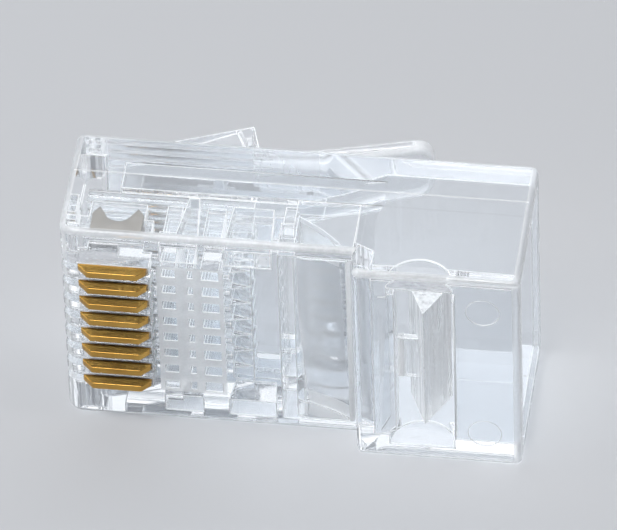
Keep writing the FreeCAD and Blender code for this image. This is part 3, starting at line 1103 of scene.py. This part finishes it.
# Studio
@dataclass
class Lamp:
    """One soft rectangular lamp aimed at the plug."""

    name: str
    azimuth: float
    elevation: float
    distance: float
    width: float
    height: float
    power: float
    colour: Colour = (1.0, 1.0, 1.0)

    def build(self, target: Vector) -> None:
        """Places the lamp.

        Args:
            target: The point it is aimed at.
        """
        light = bpy.data.lights.new(self.name, "AREA")
        light.shape = "RECTANGLE"
        light.size = self.width
        light.size_y = self.height
        light.energy = self.power
        light.color = self.colour
        lamp = bpy.data.objects.new(self.name, light)
        bpy.context.scene.collection.objects.link(lamp)
        out = direction(self.azimuth, self.elevation)
        lamp.location = target + out * self.distance
        lamp.rotation_euler = out.to_track_quat("Z", "Y").to_euler()


def direction(azimuth: float, elevation: float) -> Vector:
    """Unit vector from the plug towards a place around it.

    Args:
        azimuth: Degrees; 0 is in front of the contact side, positive towards the cable end.
        elevation: Degrees above the floor.

    Returns:
        The unit vector.
    """
    turn, rise = math.radians(azimuth), math.radians(elevation)
    level = math.cos(rise)
    return Vector((math.sin(turn) * level, -math.cos(turn) * level, math.sin(rise)))


@dataclass
class Studio:
    """Floor, lamps, surroundings and camera."""

    floor_finish: PaleFloor
    camera_azimuth: float = 8.9
    camera_elevation: float = 43.8
    camera_roll: float = -2.0
    camera_distance: float = 0.523
    near_clip: float = 0.01
    sensor: float = 36.0
    pixels_across: float = 617.0
    pixels_per_mm: float = 21.5
    aim_shift: Sequence[float] = (0.0, 0.0, -0.6 * MM)
    floor_size: float = 3.0
    air_gap: float = 0.05 * MM
    sky_top: Colour = (0.50, 0.525, 0.57)
    sky_low: Colour = (0.26, 0.27, 0.29)
    sky_strength: float = 0.55
    lamps: Sequence[Lamp] = (
        Lamp("key_lamp", azimuth=-35, elevation=66, distance=0.50, width=0.30, height=0.22, power=1.52),
        Lamp("back_lamp", azimuth=187, elevation=46, distance=0.45, width=0.50, height=0.26, power=0.42),
        Lamp("right_lamp", azimuth=85, elevation=30, distance=0.45, width=0.05, height=0.30, power=0.16),
        Lamp("left_lamp", azimuth=-88, elevation=26, distance=0.45, width=0.10, height=0.30, power=0.28),
    )

    def centre(self) -> Vector:
        """Middle of the CAD box."""
        low, high = CAD_BOX
        return (Vector(low) + Vector(high)) / 2

    def build(self) -> None:
        """Makes the floor, the lamps, the surroundings and the camera."""
        mesh = bmesh.new()
        bmesh.ops.create_grid(mesh, x_segments=1, y_segments=1, size=self.floor_size / 2)
        bmesh.ops.translate(mesh, vec=(0.0, 0.0, CAD_BOX[0][2] - self.air_gap), verts=mesh.verts)
        floor = as_object(mesh, "floor")
        floor.data.materials.append(self.floor_finish.material())
        for lamp in self.lamps:
            lamp.build(self.centre())
        self.build_sky()
        self.build_camera()

    def build_sky(self) -> None:
        """Surroundings that are bright above and darker near the horizon."""
        world = bpy.data.worlds.new("surroundings")
        world.use_nodes = True
        bpy.context.scene.world = world
        graph = Graph(world.node_tree)
        coords = graph.node("ShaderNodeTexCoord").outputs["Generated"]
        parts = graph.node("ShaderNodeSeparateXYZ", {}, {0: coords})
        height = Signal(graph, parts.outputs["Z"]).capped()
        colour = graph.mix_colour(height, self.sky_low, self.sky_top)
        values = {"Color": colour, "Strength": self.sky_strength}
        light = graph.node("ShaderNodeBackground", {}, values)
        graph.node("ShaderNodeOutputWorld", {}, {"Surface": light.outputs[0]})

    def build_camera(self) -> None:
        """The camera at the photograph's viewing angle, closer framed on the one plug."""
        data = bpy.data.cameras.new("camera")
        data.sensor_width = self.sensor
        focal_pixels = self.pixels_per_mm / MM * self.camera_distance
        data.lens = focal_pixels / self.pixels_across * self.sensor
        data.clip_start = self.near_clip
        camera = bpy.data.objects.new("camera", data)
        bpy.context.scene.collection.objects.link(camera)
        back = direction(self.camera_azimuth, self.camera_elevation)
        right = Vector((0, 0, 1)).cross(back).normalized()
        up = back.cross(right)
        roll = math.radians(self.camera_roll)
        right, up = (
            right * math.cos(roll) + up * math.sin(roll),
            up * math.cos(roll) - right * math.sin(roll),
        )
        aim = self.centre() + Vector(self.aim_shift)
        place = Matrix((right, up, back)).transposed().to_4x4()
        place.translation = aim + back * self.camera_distance
        camera.matrix_world = place
        bpy.context.scene.camera = camera


# Run
def set_light_paths() -> None:
    """Lets light pass through the many clear walls, and picks the plain view of colours."""
    scene = bpy.context.scene
    scene.view_settings.view_transform = "Standard"
    scene.cycles.use_denoising = True
    for kind in ("max", "transmission", "glossy", "transparent_max"):
        setattr(scene.cycles, f"{kind}_bounces", BOUNCES)


def main() -> None:
    """Builds and dresses the plug and its studio."""
    logging.basicConfig(level=logging.INFO, format="%(message)s")
    set_light_paths()
    Studio(PaleFloor("pale_floor")).build()
    parts = (
        Moulding(ClearPlastic("clear_polycarbonate"), EdgeGlint("edge_glint")),
        PinMarks(EdgeGlint("pin_mark_glint")),
        ContactRow(GoldPlate("gold_plating")),
    )
    for part in parts:
        part.build()
        part.dress()


if __name__ == "__main__":
    main()
